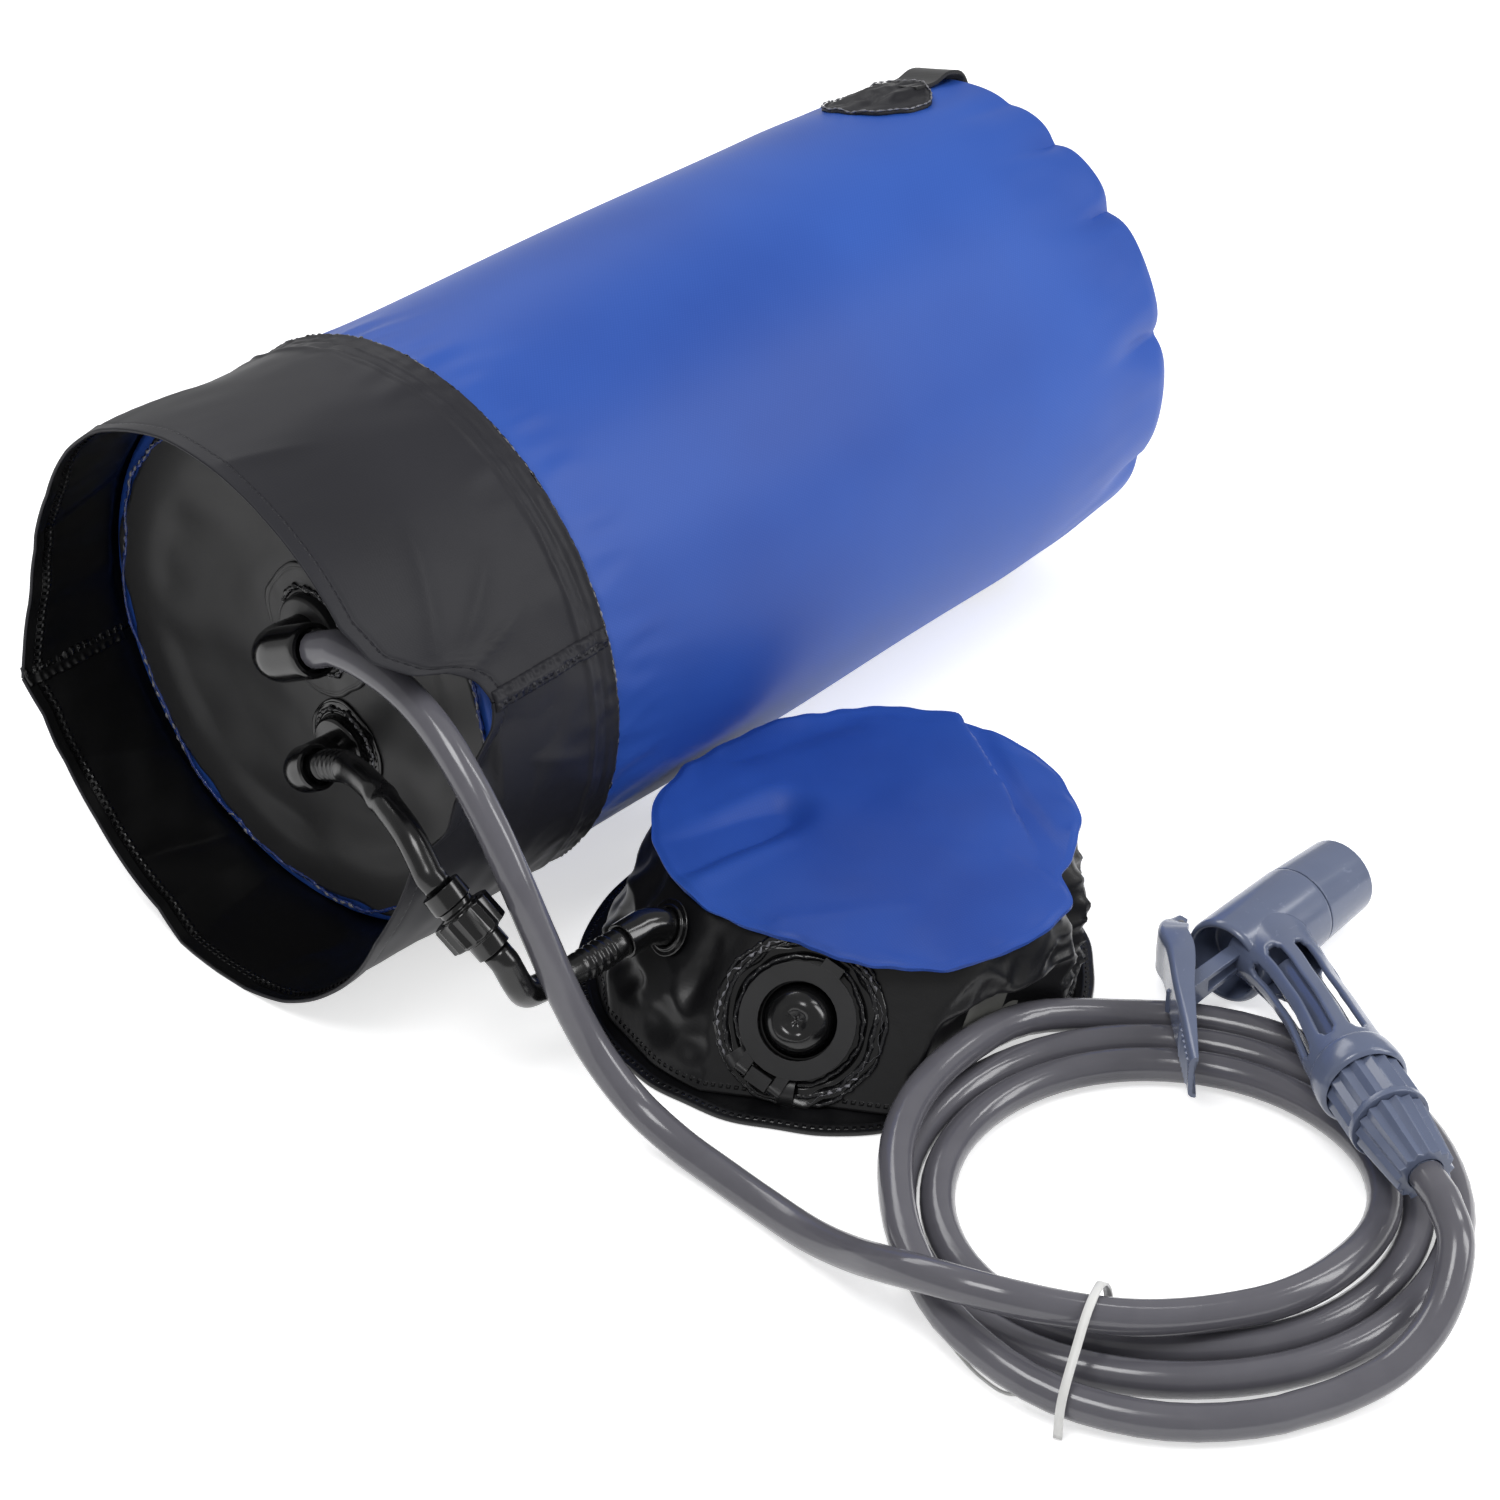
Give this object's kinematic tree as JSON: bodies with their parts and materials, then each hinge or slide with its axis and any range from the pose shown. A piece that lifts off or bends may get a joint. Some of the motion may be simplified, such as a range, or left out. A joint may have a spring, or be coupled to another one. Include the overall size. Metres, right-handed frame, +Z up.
{
  "type": "camp shower bag",
  "caption": "Round fabric water bag lying on its side with a skirt round its fittings, joined by hoses to a foot pump and a coiled shower hose with a trigger handset.",
  "frame": {"origin": "on the ground under the middle of the lying bag, where its wall rests", "axes": "+X along the bag's axis from the skirt's open end towards the filling end, +Y across from the pump and hose towards the bag's far side, +Z up"},
  "size_m": [0.5177, 0.6445, 0.2412],
  "materials": {
    "bag_fabric": "matte",
    "skirt_fabric": "satin",
    "base_black": "satin",
    "black_rubber": "satin",
    "strap_webbing": "matte",
    "grey_hose": "gloss",
    "grey_plastic": "gloss",
    "white_plastic": "matte",
    "spring_steel": "satin",
    "pump_filler": "matte"
  },
  "bodies": {
    "bag": {"bag_body": "bag_fabric", "base_disc": "base_black", "top_disc": "bag_fabric", "top_disc_lip": "bag_fabric", "fill_neck": "black_rubber", "skirt_upper": "skirt_fabric", "skirt_lower": "skirt_fabric", "outlet_flange": "black_rubber", "inlet_flange": "black_rubber", "outlet_elbow": "black_rubber", "inlet_elbow": "black_rubber", "outlet_hose_clip": "black_rubber", "air_check_valve": "black_rubber", "carry_strap": "strap_webbing", "strap_patch_front": "skirt_fabric", "strap_patch_back": "skirt_fabric", "hose_coil": "grey_hose", "shower_hose": "grey_hose", "inlet_air_hose": "black_rubber", "pump_air_hose": "black_rubber", "hose_tie": "white_plastic", "coupling_socket": "black_rubber", "coupling_plug": "black_rubber", "pump_base": "skirt_fabric", "pump_wall": "skirt_fabric", "pump_foam": "pump_filler", "pump_outlet_flange": "black_rubber", "pump_outlet_spigot": "black_rubber", "intake_valve_base": "black_rubber", "intake_valve_dome": "black_rubber", "sprayer_body": "grey_plastic", "lever_pin": "spring_steel", "stem_seal": "black_rubber", "stem_spring": "spring_steel", "inner_tube": "grey_plastic", "hose_nut": "grey_plastic", "hose_barb": "grey_plastic"},
    "cap_lift": {"fill_gasket": "black_rubber"},
    "cap": {"fill_cap": "black_rubber"},
    "collar": {"coupling_collar": "black_rubber"},
    "pump_cover": {"pump_top": "bag_fabric"},
    "intake_flap": {"intake_valve_cap": "black_rubber"},
    "lever": {"trigger_lever": "grey_plastic"},
    "stem": {"valve_stem": "white_plastic"},
    "rose": {"sprayer_rose": "grey_plastic"},
    "swivel": {"swivel_nut": "grey_plastic"}
  },
  "joints": [
    {"name": "cap_lift", "type": "slide", "parent": "bag", "child": "cap_lift", "axis": [1, 0, 0], "range_m": [0, 0.045]},
    {"name": "cap_turn", "type": "hinge", "parent": "cap_lift", "child": "cap", "pos_m": [0.2265, -0.04852, 0.1308], "axis": [1, 0, 0], "range_deg": [0, 540]},
    {"name": "collar_twist", "type": "hinge", "parent": "bag", "child": "collar", "pos_m": [-0.247, -0.1385, 0.1025], "axis": [0.2171, -0.6824, -0.6979], "range_deg": [-30, 30]},
    {"name": "pump_press", "type": "hinge", "parent": "bag", "child": "pump_cover", "pos_m": [-0.13041, -0.2095, 0.0575], "axis": [-0.1736, 0.9848, 0], "range_deg": [0, 13], "stiffness_Nm_per_rad": 40, "springref_deg": -1.72, "deforming": ["pump_wall", "pump_foam"]},
    {"name": "intake_cap_flip", "type": "hinge", "parent": "bag", "child": "intake_flap", "pos_m": [-0.16891, -0.23401, 0.01331], "axis": [0.2344, -0.8931, -0.3841], "range_deg": [0, 105]},
    {"name": "trigger_squeeze", "type": "hinge", "parent": "bag", "child": "lever", "pos_m": [0.01, -0.3075, 0.019], "axis": [0, 0, 1], "range_deg": [0, 10], "stiffness_Nm_per_rad": 2.2, "springref_deg": -5.73},
    {"name": "stem_slide", "type": "slide", "parent": "bag", "child": "stem", "axis": [1, 0, 0], "range_m": [0, 0.0054], "deforming": ["stem_spring"]},
    {"name": "rose_turn", "type": "hinge", "parent": "bag", "child": "rose", "pos_m": [0.0635, -0.3285, 0.019], "axis": [1, 0, 0], "range_deg": [0, 90]},
    {"name": "swivel_nut_turn", "type": "hinge", "parent": "bag", "child": "swivel", "pos_m": [-0.03914, -0.43196, 0.04187], "axis": [-0.4977, -0.8671, -0.02], "range_deg": [0, 360]}
  ],
  "couplings": [
    {"joint": "stem_slide", "follows": "trigger_squeeze", "m_per_rad": 0.03}
  ]
}
